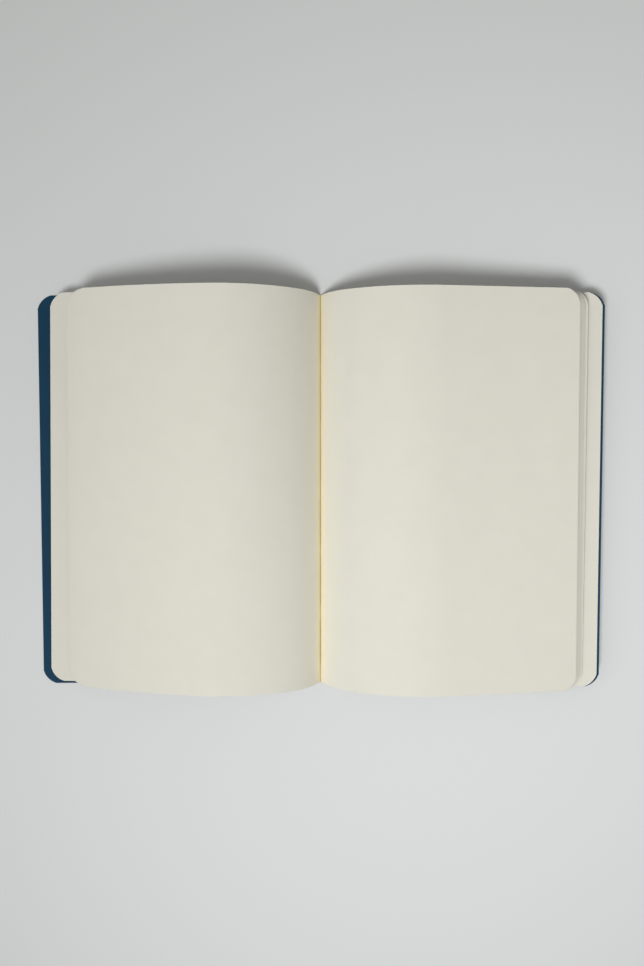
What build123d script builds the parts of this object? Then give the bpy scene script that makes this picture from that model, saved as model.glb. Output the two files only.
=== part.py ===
"""A sewn notebook with a soft card cover, lying open on its back. Millimetres.

The gutter runs along Y with the head at +Y, the front cover is at -X, the back
cover at +X, and the spine's underside lies on Z = 0. The leaves arch up out of
the gutter in bundles, a little higher at the head than at the tail.
"""
import math
import os
from collections import namedtuple

from build123d import *

# Cover, trimmed together with the leaves
front_cover_width = 147.5
back_cover_width = 147.0
cover_height = 210.0
cover_thickness = 0.6
front_cover_skew = 1.0
back_cover_lift = 10.5
corner_reach = 7.0
corner_radius = 10.0
crease_clearance = 0.05
resting_clearance = 0.3

# Leaves, counted in bundles from the gutter down to the cover
leaf_width = 145.5
leaf_thickness = 0.115
front_bundles = (16, 11, 2)
back_bundles = (8, 6, 3)
last_leaves = 2
last_leaf_margin = 1.3
bundle_gap = 0.06

# Glued back of the block and the fold that lies open
glue_depth = 0.9
gutter_width = 0.5

# Arch of a leaf: its straight foot rises out of the fold, it turns at the shoulder, then
# at the crown, and its last stretch bends until the fore edge is at its height
shoulder_length = 20.0
crown_length = 50.0
Arch = namedtuple("Arch", "rise foot shoulder_turn crown_turn")
front_head_upper = Arch(73.0, 5.0, 32.0, 46.5)
front_head_lower = Arch(52.0, 2.0, 30.5, 27.0)
front_tail_upper = Arch(65.5, 5.0, 40.0, 34.0)
front_tail_lower = Arch(38.0, 2.0, 38.0, 5.0)
back_head_upper = Arch(67.0, 5.0, 34.0, 40.5)
back_head_lower = Arch(60.0, 4.0, 37.5, 30.0)
back_tail_upper = Arch(60.0, 5.0, 31.0, 37.5)
back_tail_lower = Arch(54.0, 4.0, 32.0, 30.0)

# Place of each bundle between the upper and the lower arch, and the height of its fore edge
front_spread = (0.0, 0.1, 1.0)
front_head_heights = (18.5, 14.8, 8.1)
front_tail_heights = (5.0, 2.0, 1.0)
back_spread = (0.0, 0.4, 1.0)
back_head_heights = (22.1, 18.6, 14.2)
back_tail_heights = (17.0, 14.4, 11.6)

# Sewing thread in the open fold
thread_diameter = 0.4
stitch_length = 24.0
stitch_gap = 9.0
stitch_count = 6

half_height = cover_height / 2
half_gutter = gutter_width / 2
cover_top = cover_thickness
fold_level = cover_top + glue_depth


def bend(start, heading, length, turn):
    """Start, middle and end of an arc that bends down by turn, and the heading after it."""
    radius = length / turn

    def point(share):
        angle = heading - share * turn
        out = radius * (math.sin(heading) - math.sin(angle))
        up = radius * (math.cos(angle) - math.cos(heading))
        return (start[0] + out, start[1] + up)

    return (start, point(0.5), point(1.0)), heading - turn


def leaf_lines(arch, foot_start, bundle_top, depth, last_bend):
    """The straight foot and three tangent arcs of the leaf at depth below the top of its bundle.

    foot_start is where the bundle's top leaf leaves the fold, bundle_top is how far the
    bundle lies below the half's top leaf, and last_bend is the curvature of its last stretch.
    """
    rise, shoulder, crown = (math.radians(angle) for angle in (arch.rise, *arch[2:]))
    foot = arch.foot - depth / math.tan(rise)
    shoulder_arc = shoulder_length - (bundle_top + depth) * shoulder
    crown_arc = crown_length - depth * crown
    last_arc = leaf_width - foot - shoulder_arc - crown_arc
    start = (foot_start + depth / math.sin(rise), fold_level)
    foot_end = (start[0] + foot * math.cos(rise), start[1] + foot * math.sin(rise))
    first, heading = bend(foot_end, rise, shoulder_arc, shoulder)
    second, heading = bend(first[-1], heading, crown_arc, crown)
    last, heading = bend(second[-1], heading, last_arc, last_arc / (1 / last_bend - depth))
    return [(start, foot_end), first, second, last]


def find_last_bend(arch, foot_start, bundle_top, thickness, height):
    """Curvature of the last stretch that brings the bundle's lowest fore edge to height.

    It lies between a hollow and a bow that are about as tight as the crown is long.
    """
    low, high = -1.0 / crown_length, 1.25 / crown_length
    for _ in range(60):
        middle = (low + high) / 2
        if leaf_lines(arch, foot_start, bundle_top, thickness, middle)[-1][-1][1] > height:
            low = middle
        else:
            high = middle
    return middle


def bundle_outlines(bundles, spread, upper, lower, heights):
    """The upper and the lower lines of each bundle, from the gutter outwards."""
    outlines = []
    foot_start = half_gutter
    bundle_top = 0.0
    for leaves, share, height in zip(bundles, spread, heights):
        thickness = leaves * leaf_thickness
        arch = Arch(*(a + share * (b - a) for a, b in zip(upper, lower)))
        last_bend = find_last_bend(arch, foot_start, bundle_top, thickness, height)
        outlines.append((leaf_lines(arch, foot_start, bundle_top, 0.0, last_bend),
                         leaf_lines(arch, foot_start, bundle_top, thickness, last_bend)))
        bundle_top += thickness + bundle_gap
        foot_start += (thickness + bundle_gap) / math.sin(math.radians(arch.rise))
    return outlines


front_head = bundle_outlines(front_bundles, front_spread, front_head_upper, front_head_lower,
                             front_head_heights)
front_tail = bundle_outlines(front_bundles, front_spread, front_tail_upper, front_tail_lower,
                             front_tail_heights)
back_head = bundle_outlines(back_bundles, back_spread, back_head_upper, back_head_lower,
                            back_head_heights)
back_tail = bundle_outlines(back_bundles, back_spread, back_tail_upper, back_tail_lower,
                            back_tail_heights)


def reach_of_feet(head, tail):
    """How far from the gutter's middle the feet of a half's leaves reach."""
    return max(bundles[-1][1][0][0][0] for bundles in (head, tail))


front_side = reach_of_feet(front_head, front_tail)
back_side = reach_of_feet(back_head, back_tail)
spine_width = front_side + back_side
spine_middle = (back_side - front_side) / 2
crease_reach = cover_thickness / 2 + crease_clearance
front_crease = -front_side - crease_reach
back_crease = back_side + crease_reach
crease_level = cover_thickness / 2


def back_cover_radius():
    """Radius of the back cover's curl, from the rise of its fore edge."""
    low, high = back_cover_width, back_cover_width ** 2 / crease_clearance
    for _ in range(80):
        middle = (low + high) / 2
        if middle * (1 - math.cos(back_cover_width / middle)) > back_cover_lift:
            low = middle
        else:
            high = middle
    return middle


curl_radius = back_cover_radius()
curl_centre = crease_level + curl_radius


def curl_point(radius, angle):
    """A point of the back cover's curl, at an angle from the crease."""
    return (back_crease + radius * math.sin(angle), curl_centre - radius * math.cos(angle))


def curl_arc(radius, first, last):
    """Start, middle and end of an arc about the curl's centre."""
    return tuple(curl_point(radius, first + share * (last - first)) for share in (0.0, 0.5, 1.0))


def place(point, y, side):
    """A point of a section, outwards and up, set at y on the back (1) or the front (-1) half."""
    return Vector(side * point[0], y, point[1])


def section_edge(points, y, side):
    """A line through two points of a section, or an arc through three."""
    placed = [place(point, y, side) for point in points]
    return Edge.make_line(*placed) if len(placed) == 2 else Edge.make_three_point_arc(*placed)


def bundle_ring(outline, y, side):
    """The closed section of one bundle at y: out along the top, back along the underside."""
    upper, lower = outline
    underside = [line[::-1] for line in reversed(lower)]
    lines = [*upper, (upper[-1][-1], lower[-1][-1]), *underside, (lower[0][0], upper[0][0])]
    return [section_edge(line, y, side) for line in lines]


def corner_waste():
    """What the round trim takes off a corner at the origin, out along X and endwards along Y.

    The arc is flatter than a quarter round, so it meets both edges at a slight angle.
    """
    beyond = corner_reach / 4
    sagitta = corner_radius - math.sqrt(corner_radius ** 2 - corner_reach ** 2 / 2)
    inset = corner_reach / 2 - sagitta / math.sqrt(2)
    rim = Polyline((0, -corner_reach), (beyond, -corner_reach), (beyond, beyond),
                   (-corner_reach, beyond), (-corner_reach, 0))
    return make_face([rim, ThreePointArc((-corner_reach, 0), (-inset, -inset), (0, -corner_reach))])


def corner_cutter(outline, y, side):
    """The waste of a bundle's corner.

    It runs along the sloping fore edge, so that every leaf gets the same corner.
    """
    upper, lower = outline
    top = place(upper[-1][-1], y, side)
    fore_edge = place(lower[-1][-1], y, side) - top
    outwards = section_edge(upper[-1], y, side) % 1
    endwards = Vector(0, math.copysign(1, y), 0)
    leaf_plane = Plane(origin=top - fore_edge, x_dir=outwards, z_dir=outwards.cross(endwards))
    return extrude(leaf_plane * corner_waste(), amount=3 * fore_edge.length,
                   dir=fore_edge.normalized())


def upright_cutter(x, y, side):
    """The waste of a cover's corner at x and y, taken straight down."""
    endwards = math.copysign(1, y)
    corner = Plane(origin=(x, y, -back_cover_lift), x_dir=(side, 0, 0), z_dir=(0, 0, side * endwards))
    return extrude(corner * corner_waste(), amount=3 * back_cover_lift, dir=(0, 0, 1))


def make_bundle(head, tail, side):
    """A bundle of leaves, ruled from its section at the head to its section at the tail."""
    head_ring = bundle_ring(head, half_height, side)
    tail_ring = bundle_ring(tail, -half_height, side)
    faces = [Face.make_surface_from_curves(a, b) for a, b in zip(head_ring, tail_ring)]
    bundle = Solid(Shell(faces + [Face(Wire(head_ring)), Face(Wire(tail_ring))]))
    return bundle - corner_cutter(head, half_height, side) - corner_cutter(tail, -half_height, side)


def curled_plate(upper_radius, lower_radius, inner_side, width):
    """A plate that curls up with the back cover, with two round corners at its fore edge."""
    sweep = width / curl_radius
    upper, lower = (curl_arc(radius, math.asin((inner_side - back_crease) / radius), sweep)
                    for radius in (upper_radius, lower_radius))
    ring = [upper, (upper[-1], lower[-1]), lower[::-1], (lower[0], upper[0])]
    section = Face(Wire([section_edge(line, half_height, 1) for line in ring]))
    plate = extrude(section, amount=cover_height, dir=(0, -1, 0))
    fore_edge = lower[-1][0]
    return plate - upright_cutter(fore_edge, half_height, 1) - upright_cutter(fore_edge, -half_height, 1)


def make_page_block():
    """All the leaves in one solid, with the glued back that holds them."""
    block = Pos(spine_middle, 0, cover_top + glue_depth / 2) * Box(spine_width, cover_height, glue_depth)
    for side, heads, tails in ((-1, front_head, front_tail), (1, back_head, back_tail)):
        for head, tail in zip(heads, tails):
            block += make_bundle(head, tail, side)
    last_leaf_lower = curl_radius - cover_thickness / 2 - resting_clearance
    last_leaf_upper = last_leaf_lower - last_leaves * leaf_thickness
    last_leaf_width = back_cover_width - last_leaf_margin
    return block + curled_plate(last_leaf_upper, last_leaf_lower, back_side, last_leaf_width)


def make_spine():
    """The flat strip of the cover under the glued back."""
    return Pos(spine_middle, 0, crease_level) * Box(spine_width, cover_height, cover_thickness)


def crease(x):
    """The rounded inner edge that a cover turns on."""
    return Pos(x, 0, crease_level) * Rot(90, 0, 0) * Cylinder(cover_thickness / 2, cover_height)


def make_front_cover():
    """The flat panel, with two round corners at its fore edge and a tail trimmed a little askew."""
    outer = front_crease - front_cover_width
    tail = -half_height - front_cover_skew
    outline = Polyline((front_crease, half_height), (outer, half_height), (outer, tail),
                       (front_crease, -half_height), close=True)
    panel = extrude(make_face(outline), amount=cover_thickness, dir=(0, 0, 1))
    panel -= upright_cutter(outer, half_height, -1) + upright_cutter(outer, tail, -1)
    return panel + crease(front_crease)


def make_back_cover():
    """The panel that curls up towards its fore edge."""
    half = cover_thickness / 2
    panel = curled_plate(curl_radius - half, curl_radius + half, back_crease, back_cover_width)
    return panel + crease(back_crease)


def make_sewing_thread():
    """Stitches that lie in the open fold, one behind the other."""
    stitch = Rot(90, 0, 0) * Cylinder(thread_diameter / 2, stitch_length)
    pitch = stitch_length + stitch_gap
    first = -pitch * (stitch_count - 1) / 2
    level = fold_level + thread_diameter / 2
    return Compound([Pos(0, first + number * pitch, level) * stitch for number in range(stitch_count)])


os.makedirs("parts", exist_ok=True)
nodes = {
    "page_block": make_page_block(),
    "spine": make_spine(),
    "front_cover": make_front_cover(),
    "back_cover": make_back_cover(),
    "sewing_thread": make_sewing_thread(),
}
for name, shape in nodes.items():
    export_step(shape, f"parts/{name}.step")
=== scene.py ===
import math
from collections import namedtuple

import bpy
import numpy as np
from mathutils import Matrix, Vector


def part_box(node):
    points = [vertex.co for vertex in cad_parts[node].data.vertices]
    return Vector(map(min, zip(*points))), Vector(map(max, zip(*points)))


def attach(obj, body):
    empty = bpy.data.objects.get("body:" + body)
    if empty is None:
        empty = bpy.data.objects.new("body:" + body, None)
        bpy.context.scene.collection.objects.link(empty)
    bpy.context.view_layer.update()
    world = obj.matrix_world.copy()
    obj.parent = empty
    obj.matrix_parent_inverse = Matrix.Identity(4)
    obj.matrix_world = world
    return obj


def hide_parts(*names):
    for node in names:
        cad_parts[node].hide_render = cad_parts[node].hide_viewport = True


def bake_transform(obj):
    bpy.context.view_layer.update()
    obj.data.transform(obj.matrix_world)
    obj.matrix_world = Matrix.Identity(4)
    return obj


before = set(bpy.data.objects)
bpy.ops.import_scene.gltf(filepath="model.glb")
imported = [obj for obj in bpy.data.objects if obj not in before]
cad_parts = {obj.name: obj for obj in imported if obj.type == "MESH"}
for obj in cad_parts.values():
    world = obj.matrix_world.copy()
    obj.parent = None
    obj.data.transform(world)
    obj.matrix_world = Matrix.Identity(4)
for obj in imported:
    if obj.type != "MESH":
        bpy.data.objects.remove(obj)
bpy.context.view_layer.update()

# Leaves
# Sheets of uncoated cream paper, trimmed together with round corners. They stand upright in
# the fold, turn over at the shoulder and the crown, and fan apart towards the fore edge.
leaf_width = 0.1455
leaf_pitch = 0.000115
paper_share = 0.8
corner_reach = 0.007
corner_radius = 0.010
glue_depth = 0.0009
half_gutter = 0.00025
bundle_gap = 0.00003
shoulder_length = 0.020
crown_length = 0.050
bend_limits = (-20.0, 25.0)
halvings = 50
leaf_stray = 0.3
sharp_angle = math.radians(30)
half_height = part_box("page_block")[1].y
fold_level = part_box("spine")[1].z + glue_depth
foot_columns, shoulder_columns, crown_columns = 4, 12, 14
last_columns, corner_columns, leaf_rows = 16, 9, 15

Arch = namedtuple("Arch", "rise foot shoulder_turn crown_turn")
Half = namedtuple("Half", "side head_upper head_lower tail_upper tail_lower bundles")
Bundle = namedtuple(
    "Bundle", "name leaves grey shares head_heights tail_heights tail_trim", defaults=[0.0])
front_half = Half(
    -1, Arch(73.0, 0.005, 32.0, 46.5), Arch(52.0, 0.002, 30.5, 27.0),
    Arch(65.5, 0.005, 40.0, 34.0), Arch(38.0, 0.002, 38.0, 5.0),
    (Bundle("front_upper_leaves", 16, 0.0, (0.0, 0.03), (0.0214, 0.0186), (0.0080, 0.0051)),
     Bundle("front_lower_leaves", 11, 0.0, (0.09, 0.11), (0.0169, 0.0149), (0.0041, 0.0021)),
     Bundle("first_leaves", 2, 0.0, (1.0, 1.0), (0.0084, 0.0082), (0.0012, 0.0011), 0.0006)))
# Each bundle's third value darkens it as painted shade, for back leaves shaded by the top ones.
back_half = Half(
    1, Arch(67.0, 0.005, 34.0, 40.5), Arch(60.0, 0.004, 37.5, 30.0),
    Arch(60.0, 0.005, 31.0, 37.5), Arch(54.0, 0.004, 32.0, 30.0),
    (Bundle("back_top_leaves", 2, 0.0, (0.0, 0.01), (0.0231, 0.0230), (0.0180, 0.0179)),
     Bundle("back_upper_leaves", 6, 0.4, (0.12, 0.20), (0.0214, 0.0204), (0.0168, 0.0159)),
     Bundle("back_middle_leaves", 6, 0.3, (0.30, 0.46), (0.0199, 0.0183), (0.0156, 0.0143)),
     Bundle("back_lower_leaves", 3, 0.0, (0.85, 0.85), (0.0166, 0.0162), (0.0126, 0.0122))))
unevenness = np.random.default_rng(5)


def between(first, last, share):
    """The value at a share of the way from the first to the last, or a tuple of such values."""
    if isinstance(first, tuple):
        return type(first)(*(between(a, b, share) for a, b in zip(first, last)))
    return first + share * (last - first)


def run_of_lines(arch, foot, turns, lengths, start, shares):
    """Section of a leaf: a straight foot that rises out of the fold, then a chain of tangent arcs.

    On an arc of length L and turn t, entered at heading h, the share p lies
    (L / t) (sin h - sin(h - t p)) outwards and (L / t) (cos(h - t p) - cos h) up.
    """
    heading = math.radians(arch.rise)
    along = foot * shares[0]
    run = [(start + along * math.cos(heading), fold_level + along * math.sin(heading),
            np.full_like(along, heading))]
    for turn, length, share in zip(turns, lengths, shares[1:]):
        angle = heading - turn * share
        radius = length / turn
        run.append((run[-1][0][-1] + radius * (np.sin(heading) - np.sin(angle)),
                    run[-1][1][-1] + radius * (np.cos(angle) - np.cos(heading)), angle))
        heading -= turn
    return np.concatenate(run, axis=1)


def leaf_section(arch, foot_start, bundle_top, depth, height, shares):
    """A leaf's section at the head or tail: its last stretch bends until its edge is at height."""
    rise, shoulder, crown = (math.radians(angle) for angle in
                             (arch.rise, arch.shoulder_turn, arch.crown_turn))
    foot = arch.foot - depth / math.tan(rise)
    lengths = [shoulder_length - (bundle_top + depth) * shoulder, crown_length - depth * crown]
    lengths.append(leaf_width - foot - sum(lengths))
    start = foot_start + depth / math.sin(rise)
    low, high = bend_limits
    for _ in range(halvings):
        bend = (low + high) / 2
        turns = (shoulder, crown, lengths[2] * bend)
        run = run_of_lines(arch, foot, turns, lengths, start, [np.ones(1)] * 4)
        low, high = (bend, high) if run[1, -1] > height else (low, bend)
    return run_of_lines(arch, foot, turns, lengths, start, shares)


def corner_inset(to_edge):
    """What the round trim takes off an end at a distance from the fore edge.

    Its arc of radius R starts a reach c before the corner on both edges, so its centre lies
    q = (c + sqrt(2 R^2 - c^2)) / 2 from both, and at distance e it takes q - sqrt(R^2 - (q - e)^2).
    """
    centre = (corner_reach + math.sqrt(2 * corner_radius ** 2 - corner_reach ** 2)) / 2
    within = np.minimum(to_edge, corner_reach)
    return centre - np.sqrt(corner_radius ** 2 - (centre - within) ** 2)


def leaf_columns():
    """Shares along the foot and the arcs, closer together in the stretch of the round corner."""
    last_length = leaf_width - shoulder_length - crown_length
    corner = np.linspace(corner_reach, 0, corner_columns)
    straight = np.linspace(0, 1 - corner_reach / last_length, last_columns)[1:]
    last = np.concatenate([straight, 1 - corner[1:] / last_length])
    shares = [np.linspace(0, 1, foot_columns), np.linspace(0, 1, shoulder_columns)[1:],
              np.linspace(0, 1, crown_columns)[1:], last]
    to_edge = np.full(sum(map(len, shares)), corner_reach)
    to_edge[-len(corner):] = corner
    return shares, to_edge


def leaf_surface(head, tail, to_edge, side, tail_trim):
    """A leaf's middle surface, ruled from the head section to the tail section.

    The round corners shorten its columns near the fore edge, and the tail is trimmed askew, by
    up to tail_trim at the fore edge. Returns the points and the unit normals on a grid of columns
    by rows.
    """
    head_end = half_height - corner_inset(to_edge)
    tail_end = tail_trim * head[0] / head[0, -1] - head_end
    y = between(head_end[:, None], tail_end[:, None], np.linspace(0, 1, leaf_rows))
    towards_tail = (half_height - y) / (2 * half_height)
    out, up, angle = (a[:, None] * (1 - towards_tail) + b[:, None] * towards_tail
                      for a, b in zip(head, tail))
    points = np.stack([side * out, y, up], axis=-1)
    normals = np.stack([-side * np.sin(angle), np.zeros_like(angle), np.cos(angle)], axis=-1)
    return points, normals


def sheet_shell(points, normals, thickness):
    """Vertices and faces of a closed sheet: the surface moved half its thickness both ways.

    A strip of faces closes the rim of the upper and the lower grid. The third value is 1 for
    each face of that cut edge and 0 for the others.
    """
    columns, rows = points.shape[:2]
    vertices = np.concatenate([points + normals * thickness / 2, points - normals * thickness / 2])
    number = np.arange(columns * rows).reshape(columns, rows)
    quads = np.stack([number[:-1, :-1], number[1:, :-1], number[1:, 1:], number[:-1, 1:]], axis=-1)
    quads = quads.reshape(-1, 4)
    rim = np.concatenate([number[:-1, 0], number[-1, :-1], number[:0:-1, -1], number[0, :0:-1]])
    below = columns * rows
    following = np.roll(rim, -1)
    strip = np.stack([rim, rim + below, following + below, following], axis=-1)
    faces = np.concatenate([quads, quads[:, ::-1] + below, strip])
    return vertices.reshape(-1, 3), faces, np.repeat([0.0, 1.0], [2 * len(quads), len(strip)])


def make_mesh(name, vertices, faces):
    """A smooth mesh object whose edges stay sharp where they turn by more than the sharp angle."""
    mesh = bpy.data.meshes.new(name)
    mesh.from_pydata(vertices, [], faces.tolist())
    mesh.shade_smooth()
    mesh.set_sharp_from_angle(angle=sharp_angle)
    piece = bpy.data.objects.new(name, mesh)
    bpy.context.scene.collection.objects.link(piece)
    return piece


def add_nodes(material, *kinds):
    """New shader nodes of the given kinds in a material."""
    return [material.node_tree.nodes.new(kind) for kind in kinds]


def new_material(name):
    """A node material with its links and its shader."""
    material = bpy.data.materials.new(name)
    material.use_nodes = True
    return material, material.node_tree.links.new, material.node_tree.nodes["Principled BSDF"]


def cream_paper():
    """Uncoated paper: faint clouds of fibre and a fine tooth.

    It is lighter and golden near the fold, painted light for the glow bounced between the facing
    pages, and greyer on its cut edges and on shaded leaves, painted shade between the leaves.
    """
    material, link, shader = new_material("cream_paper")
    place, cloud, fibre, tint, fold, share, painted_glow_ramp, painted_glow, edge, cut, bump = add_nodes(
        material, "ShaderNodeTexCoord", "ShaderNodeTexNoise", "ShaderNodeTexNoise", "ShaderNodeMix",
        "ShaderNodeAttribute", "ShaderNodeMapRange", "ShaderNodeValToRGB", "ShaderNodeMix",
        "ShaderNodeAttribute", "ShaderNodeMix", "ShaderNodeBump")
    cloud.inputs["Scale"].default_value = 90.0
    cloud.inputs["Detail"].default_value = 4.0
    fibre.inputs["Scale"].default_value = 1600.0
    fibre.inputs["Detail"].default_value = 5.0
    tint.data_type = painted_glow.data_type = cut.data_type = "RGBA"
    tint.inputs["A"].default_value = (0.713, 0.698, 0.625, 1.0)
    tint.inputs["B"].default_value = (0.752, 0.737, 0.662, 1.0)
    fold.attribute_name = "from_fold"
    share.inputs["From Max"].default_value = 0.024
    # Painted light: lighter, golden paper near the fold stands for light bounced between the pages.
    painted_glow_ramp.color_ramp.elements[0].color = (0.93, 0.85, 0.62, 1.0)
    painted_glow_ramp.color_ramp.elements[1].color = (0.80, 0.785, 0.70, 0.0)
    painted_glow_ramp.color_ramp.elements.new(0.2).color = (0.87, 0.845, 0.745, 1.0)
    edge.attribute_name = "grey"
    # Painted shade: cut edges and shaded leaves are mixed towards this darker tone.
    cut.inputs["B"].default_value = (0.46, 0.45, 0.39, 1.0)
    bump.inputs["Strength"].default_value = 0.12
    bump.inputs["Distance"].default_value = 0.00004
    link(place.outputs["Object"], cloud.inputs["Vector"])
    link(place.outputs["Object"], fibre.inputs["Vector"])
    link(cloud.outputs["Fac"], tint.inputs["Factor"])
    link(tint.outputs["Result"], painted_glow.inputs["A"])
    link(fold.outputs["Fac"], share.inputs["Value"])
    link(share.outputs["Result"], painted_glow_ramp.inputs["Fac"])
    link(painted_glow_ramp.outputs["Color"], painted_glow.inputs["B"])
    link(painted_glow_ramp.outputs["Alpha"], painted_glow.inputs["Factor"])
    link(painted_glow.outputs["Result"], cut.inputs["A"])
    link(edge.outputs["Fac"], cut.inputs["Factor"])
    link(cut.outputs["Result"], shader.inputs["Base Color"])
    link(fibre.outputs["Fac"], bump.inputs["Height"])
    link(bump.outputs["Normal"], shader.inputs["Normal"])
    shader.inputs["Roughness"].default_value = 0.88
    shader.inputs["Specular IOR Level"].default_value = 0.18
    return material


paper = cream_paper()


def dress_leaves(name, shells, from_fold, grey):
    """One mesh of several leaves, with the distance from the fold kept on its points.

    Its faces keep how much painted shade they get: the given amount, and 1 on the cut edges.
    """
    vertices, faces, cut_edges = zip(*shells)
    counts = np.cumsum([0] + [len(part) for part in vertices])
    vertices = np.concatenate(vertices)
    faces = np.concatenate([part + count for part, count in zip(faces, counts)])
    piece = make_mesh(name, vertices, faces)
    fold = piece.data.attributes.new("from_fold", "FLOAT", "POINT")
    fold.data.foreach_set("value", np.concatenate(from_fold).astype(np.float32))
    edge = piece.data.attributes.new("grey", "FLOAT", "FACE")
    edge.data.foreach_set("value", np.maximum(np.concatenate(cut_edges), grey).astype(np.float32))
    piece.data.materials.append(paper)
    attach(piece, "block")
    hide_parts("page_block")


def length_along(points):
    """Distance from the fold along a leaf, summed over its columns, for both its grids."""
    steps = np.linalg.norm(np.diff(points, axis=0), axis=-1)
    along = np.concatenate([np.zeros((1, points.shape[1])), np.cumsum(steps, axis=0)])
    return np.tile(along.ravel(), 2)


shares, to_edge = leaf_columns()
for half in (front_half, back_half):
    bundle_top, foot_starts = 0.0, [half_gutter, half_gutter]
    for bundle in half.bundles:
        shells, folds = [], []
        for leaf in range(bundle.leaves):
            place = leaf / (bundle.leaves - 1)
            share = between(*bundle.shares, place)
            depth = (leaf + 0.5) * leaf_pitch
            stray = unevenness.uniform(-leaf_stray, leaf_stray) * leaf_pitch
            arches = [between(half.head_upper, half.head_lower, share),
                      between(half.tail_upper, half.tail_lower, share)]
            heights = [between(*ends, place) + stray
                       for ends in (bundle.head_heights, bundle.tail_heights)]
            head, tail = (leaf_section(arch, foot_start, bundle_top, depth, height, shares)
                          for arch, foot_start, height in zip(arches, foot_starts, heights))
            points, normals = leaf_surface(head, tail, to_edge, half.side, bundle.tail_trim)
            # The rows run the other way here, so that the faces of both halves look outwards.
            if half.side > 0:
                points, normals = points[:, ::-1], normals[:, ::-1]
            shells.append(sheet_shell(points, normals, leaf_pitch * paper_share))
            folds.append(length_along(points))
        dress_leaves(bundle.name, shells, folds, bundle.grey)
        taken = bundle.leaves * leaf_pitch + bundle_gap
        bundle_top += taken
        foot_starts = [foot_start + taken / math.sin(math.radians(arch.rise))
                       for foot_start, arch in zip(foot_starts, arches)]

# Last leaves
# Two sheets of the same paper that lie on the curled back cover, a little short of its edge.
# They turn out of the glued back at its foot.
last_leaf_count = 2
last_leaf_width = 0.1457
resting_clearance = 0.0003
back_cover_lift = 0.0105
back_cover_width = 0.147
cover_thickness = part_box("spine")[1].z
crease_clearance = 0.00005
crease_reach = cover_thickness / 2 + crease_clearance
back_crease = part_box("spine")[1].x + crease_reach


def curl_curvature():
    """Curvature of the back cover: an arc of its width rises by its lift, (1 - cos(k w)) / k."""
    low, high = 1e-6, 2 / back_cover_width
    for _ in range(halvings):
        middle = (low + high) / 2
        rise = (1 - math.cos(middle * back_cover_width)) / middle
        low, high = (middle, high) if rise < back_cover_lift else (low, middle)
    return middle


curl_radius = 1 / curl_curvature()


def curled_surface(along, to_edge, lift, rows):
    """A sheet on the curl: at distance a from the crease it has turned by a / R.

    lift moves it towards the centre of the curl, which is straight above the crease.
    """
    y = np.linspace(-1, 1, rows) * (half_height - corner_inset(to_edge))[:, None]
    angle = np.broadcast_to((along / curl_radius)[:, None], y.shape)
    radius = curl_radius - lift
    points = np.stack([back_crease + radius * np.sin(angle), y,
                       cover_thickness / 2 + curl_radius - radius * np.cos(angle)], axis=-1)
    normals = np.stack([-np.sin(angle), np.zeros_like(angle), np.cos(angle)], axis=-1)
    return points, normals


def flat_columns(inner, outer, columns):
    """Distances across a sheet with a round corner at its outer end, and how far from that end."""
    corner = np.linspace(corner_reach, 0, corner_columns)
    along = np.concatenate([np.linspace(inner, outer - corner_reach, columns), outer - corner[1:]])
    return along, np.minimum(outer - along, corner_reach)


along, to_edge = flat_columns(-crease_reach, last_leaf_width, last_columns)
shells, folds = [], []
for leaf in range(last_leaf_count):
    lift = cover_thickness / 2 + resting_clearance + (leaf + 0.5) * leaf_pitch
    points, normals = curled_surface(along, to_edge, lift, leaf_rows)
    shells.append(sheet_shell(points, normals, leaf_pitch * paper_share))
    folds.append(length_along(points))
dress_leaves("last_leaves", shells, folds, 0.0)

# Sewing thread
# Two-ply linen thread, laid on the glued back in long stitches along the open fold, each
# narrowing to blunt ends.
thread_radius = 0.0002
ply_radius = 0.0001
ply_twist = 0.0014
stitch_length = 0.024
stitch_pitch = 0.033
stitch_count = 6
end_power, end_section = 16, 0.09
ply_sides, stitch_steps = 8, 150


def ply_tube(middle, phase):
    """One ply of a stitch: a round tube on a helix about the stitch's line.

    The helix turns once in each twist length. The tube's section narrows to its two blunt ends as
    1 - s^n, with s from -1 to 1 along the stitch. Returns its points, its wall faces and its two
    end faces.
    """
    share = np.linspace(-1, 1, stitch_steps)
    along = share * stitch_length / 2
    turn = 2 * math.pi * along / ply_twist + phase
    offset = thread_radius - ply_radius
    line = np.stack([offset * np.cos(turn), middle + along,
                     fold_level + thread_radius + offset * np.sin(turn)], axis=-1)
    round_angle = np.linspace(0, 2 * math.pi, ply_sides, endpoint=False)
    radius = ply_radius * np.sqrt(np.maximum(1 - share ** end_power, end_section))[:, None]
    ring = np.stack([radius * np.cos(round_angle), np.zeros_like(radius * round_angle),
                     radius * np.sin(round_angle)], axis=-1)
    vertices = (line[:, None, :] + ring).reshape(-1, 3)
    number = np.arange(stitch_steps * ply_sides).reshape(stitch_steps, ply_sides)
    ahead = np.roll(number, -1, axis=1)
    walls = np.stack([number[:-1], number[1:], ahead[1:], ahead[:-1]], axis=-1).reshape(-1, 4)
    return vertices, walls, np.stack([number[0], number[-1, ::-1]])


def linen_thread():
    """Ochre linen: darker between the fibres, with a fine fuzz of bump."""
    material, link, shader = new_material("linen_thread")
    place, fibre, tint, bump = add_nodes(material, "ShaderNodeTexCoord", "ShaderNodeTexNoise",
                                         "ShaderNodeMix", "ShaderNodeBump")
    fibre.inputs["Scale"].default_value = 6000.0
    fibre.inputs["Detail"].default_value = 3.0
    tint.data_type = "RGBA"
    tint.inputs["A"].default_value = (0.41, 0.33, 0.18, 1.0)
    tint.inputs["B"].default_value = (0.66, 0.55, 0.33, 1.0)
    bump.inputs["Strength"].default_value = 0.4
    bump.inputs["Distance"].default_value = 0.00003
    link(place.outputs["Object"], fibre.inputs["Vector"])
    link(fibre.outputs["Fac"], tint.inputs["Factor"])
    link(tint.outputs["Result"], shader.inputs["Base Color"])
    link(fibre.outputs["Fac"], bump.inputs["Height"])
    link(bump.outputs["Normal"], shader.inputs["Normal"])
    shader.inputs["Roughness"].default_value = 0.8
    return material


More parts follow.
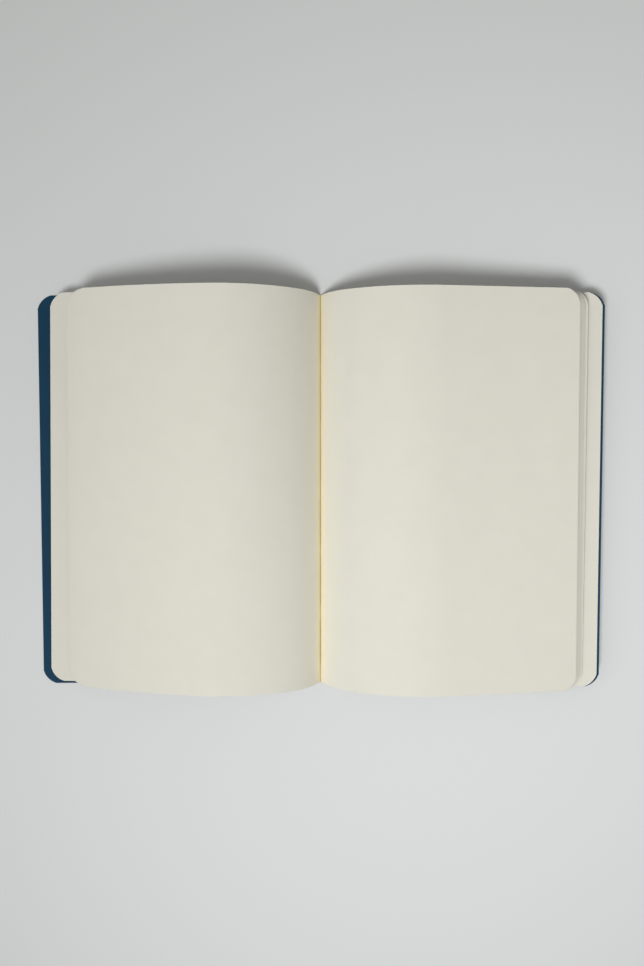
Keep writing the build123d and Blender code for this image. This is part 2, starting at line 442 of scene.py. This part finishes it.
stitch_vertices, stitch_faces = [], []
for stitch in range(stitch_count):
    for phase in (0.0, math.pi):
        vertices, walls, ends = ply_tube(stitch_pitch * (stitch - (stitch_count - 1) / 2), phase)
        first = len(stitch_vertices) * len(vertices)
        stitch_vertices.append(vertices)
        stitch_faces += (walls + first).tolist() + (ends + first).tolist()
thread_mesh = bpy.data.meshes.new("sewn_stitches")
thread_mesh.from_pydata(np.concatenate(stitch_vertices), [], stitch_faces)
thread_mesh.shade_smooth()
thread = bpy.data.objects.new("sewn_stitches", thread_mesh)
bpy.context.scene.collection.objects.link(thread)
thread_mesh.materials.append(linen_thread())
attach(thread, "block")
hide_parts("sewing_thread")

# Glued back
# The backs of the folded sections under a thin coat of binding glue, which holds the feet of
# all the leaves and sits on the spine of the cover.
block_low, block_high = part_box("spine")
section_count = 6
glue_columns, glue_rows = 49, 41
glue_groove = 0.00008
groove_share = 0.12
glue_color = (0.40, 0.33, 0.19, 1.0)


def glue_surface():
    """The coat's middle surface: flat, with a shallow groove between each two sections.

    The groove is a bell curve, exp(-(d / w)^2), of the distance d from the nearest joint.
    """
    x = np.linspace(block_low.x, block_high.x, glue_columns)[:, None]
    y = np.linspace(-half_height, half_height, glue_rows)[None, :]
    share = (x - block_low.x) / (block_high.x - block_low.x) * section_count
    joint = np.clip(np.round(share), 1, section_count - 1)
    groove = glue_groove * np.exp(-((share - joint) / groove_share) ** 2)
    z = cover_thickness + glue_depth / 2 - groove + 0 * y
    points = np.stack([x + 0 * y, y + 0 * x, z], axis=-1)
    return points, np.broadcast_to((0.0, 0.0, 1.0), points.shape)


points, normals = glue_surface()
vertices, faces, _ = sheet_shell(points, normals, glue_depth - glue_groove)
glue = make_mesh("glued_back", vertices, faces)
material, _, shader = new_material("dried_glue")
shader.inputs["Base Color"].default_value = glue_color
shader.inputs["Roughness"].default_value = 0.6
glue.data.materials.append(material)
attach(glue, "block")
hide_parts("page_block")

# Cover
# One sheet of dark blue card, dyed through, wrapped round the glued back and creased on both
# sides of the spine. It was trimmed with the leaves, so its corners have the same round.
crease_columns, panel_columns, panel_rows = 9, 24, 21
front_cover_skew = 0.0010
front_cover_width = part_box("front_cover")[1].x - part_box("front_cover")[0].x - cover_thickness / 2
edge_softness = 0.00012
edge_rub = 0.05
card_dark = (0.0030, 0.034, 0.073, 1.0)
card_light = (0.0050, 0.044, 0.091, 1.0)
card_worn = (0.024, 0.068, 0.115, 1.0)


def dyed_card():
    """Dark blue card: long fibres, a faint mottle, and a lighter rub along its cut edges."""
    material, link, shader = new_material("dyed_card")
    place, stretch, fibre, mottle, tint, rim, worn, rough, bump = add_nodes(
        material, "ShaderNodeTexCoord", "ShaderNodeMapping", "ShaderNodeTexNoise",
        "ShaderNodeTexNoise", "ShaderNodeMix", "ShaderNodeAttribute", "ShaderNodeMix",
        "ShaderNodeMapRange", "ShaderNodeBump")
    stretch.inputs["Scale"].default_value = (1.0, 0.25, 1.0)
    fibre.inputs["Scale"].default_value = 1800.0
    fibre.inputs["Detail"].default_value = 6.0
    mottle.inputs["Scale"].default_value = 70.0
    mottle.inputs["Detail"].default_value = 5.0
    tint.data_type = worn.data_type = "RGBA"
    tint.inputs["A"].default_value = card_dark
    tint.inputs["B"].default_value = card_light
    rim.attribute_name = "rub"
    worn.inputs["B"].default_value = card_worn
    rough.inputs["To Min"].default_value = 0.55
    rough.inputs["To Max"].default_value = 0.75
    bump.inputs["Strength"].default_value = 0.25
    bump.inputs["Distance"].default_value = 0.00004
    link(place.outputs["Object"], stretch.inputs["Vector"])
    link(stretch.outputs["Vector"], fibre.inputs["Vector"])
    link(place.outputs["Object"], mottle.inputs["Vector"])
    link(mottle.outputs["Fac"], tint.inputs["Factor"])
    link(tint.outputs["Result"], worn.inputs["A"])
    link(rim.outputs["Fac"], worn.inputs["Factor"])
    link(worn.outputs["Result"], shader.inputs["Base Color"])
    link(fibre.outputs["Fac"], rough.inputs["Value"])
    link(rough.outputs["Result"], shader.inputs["Roughness"])
    link(fibre.outputs["Fac"], bump.inputs["Height"])
    link(bump.outputs["Normal"], shader.inputs["Normal"])
    shader.inputs["Specular IOR Level"].default_value = 0.15
    return material


card = dyed_card()


def dress_card(name, points, normals, node):
    """A card sheet with softened edges that stands for a part of the cover."""
    vertices, faces, _ = sheet_shell(points, normals, cover_thickness)
    piece = make_mesh(name, vertices, faces)
    rub = np.zeros(points.shape[:2])
    rub[:, [0, -1]] = rub[-1] = edge_rub
    worn = piece.data.attributes.new("rub", "FLOAT", "POINT")
    worn.data.foreach_set("value", np.tile(rub.ravel(), 2).astype(np.float32))
    soften = piece.modifiers.new("soft_edge", "BEVEL")
    soften.width = edge_softness
    soften.segments = 2
    soften.limit_method = "ANGLE"
    piece.data.materials.append(card)
    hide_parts(node)
    return piece


def cover_columns(width):
    """Distances from the crease, close together where the card bends, and from the fore edge."""
    bend = np.linspace(-crease_reach, crease_reach, crease_columns)
    along, to_edge = flat_columns(crease_reach, width, panel_columns)
    along = np.concatenate([bend[:-1], along])
    return along, np.concatenate([np.full(crease_columns - 1, corner_reach), to_edge])


along, to_edge = cover_columns(back_cover_width)
points, normals = curled_surface(along, to_edge, 0.0, panel_rows)
back_cover = dress_card("back_cover_panel", points, normals, "back_cover")
middle_height = cover_thickness / 2
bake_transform(back_cover)

front_crease = block_low.x - crease_reach
along, to_edge = cover_columns(front_cover_width)
inset = corner_inset(to_edge)
head_end = half_height - inset
tail_end = inset - half_height - front_cover_skew * np.clip(along / front_cover_width, 0, 1)
y = between(head_end[:, None], tail_end[:, None], np.linspace(0, 1, panel_rows))
points = np.stack([front_crease - along[:, None] + 0 * y, y, middle_height + 0 * y], axis=-1)
normals = np.broadcast_to((0.0, 0.0, 1.0), points.shape)
front_cover = dress_card("front_cover_panel", points, normals, "front_cover")
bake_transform(front_cover)

x = np.linspace(block_low.x, block_high.x, crease_columns)[:, None]
y = np.linspace(-half_height, half_height, panel_rows)[None, :]
points = np.stack([x + 0 * y, y + 0 * x, middle_height + 0 * x * y], axis=-1)
normals = np.broadcast_to((0.0, 0.0, 1.0), points.shape)
spine_strip = dress_card("spine_strip", points, normals, "spine")
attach(spine_strip, "block")

# Table, light and camera
# A plain pale table top. A soft lamp stands at the tail of the book, a wide window is on the front
# cover's side, and the room fills the shadows. Out of the camera's view the table fades into the
# wall. The camera looks almost straight down.
table_span = 3.0
table_drop = 0.00002
table_color = (0.72, 0.738, 0.75, 1.0)
Lamp = namedtuple("Lamp", "name place aim size spread power")
lamps = (
    Lamp("tail_lamp", (-0.17, -0.37, 0.95), (0.20, 0.02, 0.0), 0.33, math.radians(90), 1.87),
    Lamp("window", (-0.80, -0.10, 0.90), (0.0, 0.0, 0.0), 0.80, math.radians(180), 0.67),
)
room_color = (1.0, 0.985, 0.92, 1.0)
room_strength = 0.318
wall_color = (0.62, 0.63, 0.63, 1.0)
table_fade = (0.30, 0.62)
camera_place = (0.00084, 0.02743, 0.460)
camera_tilt = math.radians(-2.90)
camera_lens = 31.55


def seen_directly(tree):
    """1 for the rays that show the wall, from the camera, mirrors and glass, and 0 for lighting."""
    path, clear, seen = (tree.nodes.new(kind) for kind in (
        "ShaderNodeLightPath", "ShaderNodeMath", "ShaderNodeMath"))
    clear.operation = seen.operation = "MAXIMUM"
    tree.links.new(path.outputs["Is Glossy Ray"], clear.inputs[0])
    tree.links.new(path.outputs["Is Transmission Ray"], clear.inputs[1])
    tree.links.new(path.outputs["Is Camera Ray"], seen.inputs[0])
    tree.links.new(clear.outputs["Value"], seen.inputs[1])
    return seen.outputs["Value"]


corner = table_span / 2
vertices = np.array([(-corner, -corner, -table_drop), (corner, -corner, -table_drop),
                     (corner, corner, -table_drop), (-corner, corner, -table_drop)])
table = make_mesh("table", vertices, np.array([[0, 1, 2, 3]]))
material, link, shader = new_material("table_top")
shader.inputs["Base Color"].default_value = table_color
shader.inputs["Roughness"].default_value = 0.7
shader.inputs["Specular IOR Level"].default_value = 0.2
place, distance, fade, share, wall, choice = add_nodes(
    material, "ShaderNodeTexCoord", "ShaderNodeVectorMath", "ShaderNodeMapRange", "ShaderNodeMath",
    "ShaderNodeEmission", "ShaderNodeMixShader")
distance.operation = "LENGTH"
fade.interpolation_type = "SMOOTHSTEP"
fade.inputs["From Min"].default_value, fade.inputs["From Max"].default_value = table_fade
share.operation = "MULTIPLY"
wall.inputs["Color"].default_value = wall_color
link(place.outputs["Object"], distance.inputs[0])
link(distance.outputs["Value"], fade.inputs["Value"])
link(fade.outputs["Result"], share.inputs[0])
link(seen_directly(material.node_tree), share.inputs[1])
link(share.outputs["Value"], choice.inputs["Fac"])
link(shader.outputs["BSDF"], choice.inputs[1])
link(wall.outputs["Emission"], choice.inputs[2])
link(choice.outputs["Shader"], material.node_tree.nodes["Material Output"].inputs["Surface"])
table.data.materials.append(material)

for lamp in lamps:
    light = bpy.data.lights.new(lamp.name, "AREA")
    light.shape = "DISK"
    light.size = lamp.size
    light.spread = lamp.spread
    light.energy = lamp.power
    stand = bpy.data.objects.new(lamp.name, light)
    stand.location = lamp.place
    direction = Vector(lamp.aim) - Vector(lamp.place)
    stand.rotation_euler = direction.to_track_quat("-Z", "Y").to_euler()
    bpy.context.scene.collection.objects.link(stand)

room = bpy.data.worlds.new("room")
room.use_nodes = True
glow = room.node_tree.nodes["Background"]
glow.inputs["Color"].default_value = room_color
glow.inputs["Strength"].default_value = room_strength
wall = room.node_tree.nodes.new("ShaderNodeBackground")
wall.inputs["Color"].default_value = wall_color
choice = room.node_tree.nodes.new("ShaderNodeMixShader")
link = room.node_tree.links.new
link(seen_directly(room.node_tree), choice.inputs["Fac"])
link(glow.outputs["Background"], choice.inputs[1])
link(wall.outputs["Background"], choice.inputs[2])
link(choice.outputs["Shader"], room.node_tree.nodes["World Output"].inputs["Surface"])
bpy.context.scene.world = room

camera = bpy.data.objects.new("camera", bpy.data.cameras.new("camera"))
camera.location = camera_place
camera.rotation_euler = (camera_tilt, 0, 0)
camera.data.lens = camera_lens
bpy.context.scene.collection.objects.link(camera)
bpy.context.scene.camera = camera
bpy.context.scene.view_settings.view_transform = "Standard"
